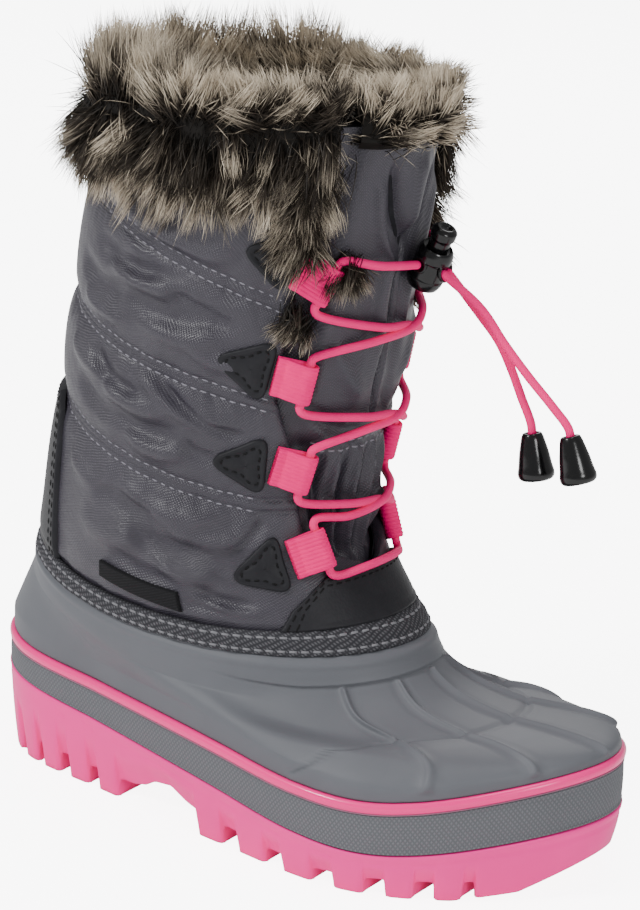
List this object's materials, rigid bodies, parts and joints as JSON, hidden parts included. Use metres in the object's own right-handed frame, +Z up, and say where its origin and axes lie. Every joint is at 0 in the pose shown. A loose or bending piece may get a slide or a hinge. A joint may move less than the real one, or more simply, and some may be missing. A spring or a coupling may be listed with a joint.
{
  "type": "snow boot",
  "caption": "Winter boot with a moulded rubber shell, quilted nylon shaft, deep fur collar and elastic lacing with a cord lock, on a wedge sole with cleats",
  "frame": {"origin": "on the floor, at the centre of the flat heel bar under the heel", "axes": "+X to the toe, +Y to the inner side of the foot, +Z up"},
  "size_m": [0.2492, 0.1183, 0.2655],
  "materials": {
    "rubber_pink": "satin",
    "rubber_piping": "gloss",
    "rubber_grey": "satin",
    "rubber_foxing": "matt, finely hatched",
    "felt": "felt",
    "nylon": "twill",
    "leather": "smooth",
    "binding": "woven",
    "webbing": "ribbed",
    "cord": "braided elastic",
    "plastic": "moulded",
    "fur": "long pile"
  },
  "bodies": {
    "root": {"outsole": "rubber_pink", "foxing": "rubber_foxing", "piping": "rubber_piping", "insole": "felt", "shell": "rubber_grey", "shaft": "nylon", "seam_binding": "binding", "tongue": "nylon", "vamp_patch": "leather", "back_stay": "leather", "side_tag": "binding", "loop_patch_lateral_1": "leather", "webbing_loop_lateral_1": "webbing", "loop_patch_lateral_2": "leather", "webbing_loop_lateral_2": "webbing", "loop_patch_lateral_3": "leather", "webbing_loop_lateral_3": "webbing", "loop_patch_lateral_4": "leather", "webbing_loop_lateral_4": "webbing", "loop_patch_medial_1": "leather", "webbing_loop_medial_1": "webbing", "loop_patch_medial_2": "leather", "webbing_loop_medial_2": "webbing", "loop_patch_medial_3": "leather", "webbing_loop_medial_3": "webbing", "loop_patch_medial_4": "leather", "webbing_loop_medial_4": "webbing", "lace_crossing_1": "cord", "lace_crossing_2": "cord", "lace_crossing_3": "cord", "lace_bottom_bar": "cord", "cord_lock_body": "plastic", "cord_lock_button": "plastic", "lace_top_run_lateral": "cord", "lace_top_run_medial": "cord", "lace_tail_long": "cord", "cord_bell_long": "plastic", "lace_tail_short": "cord", "cord_bell_short": "plastic", "fur_collar": "fur", "fur_tongue_trim": "fur"}
  },
  "joints": []
}
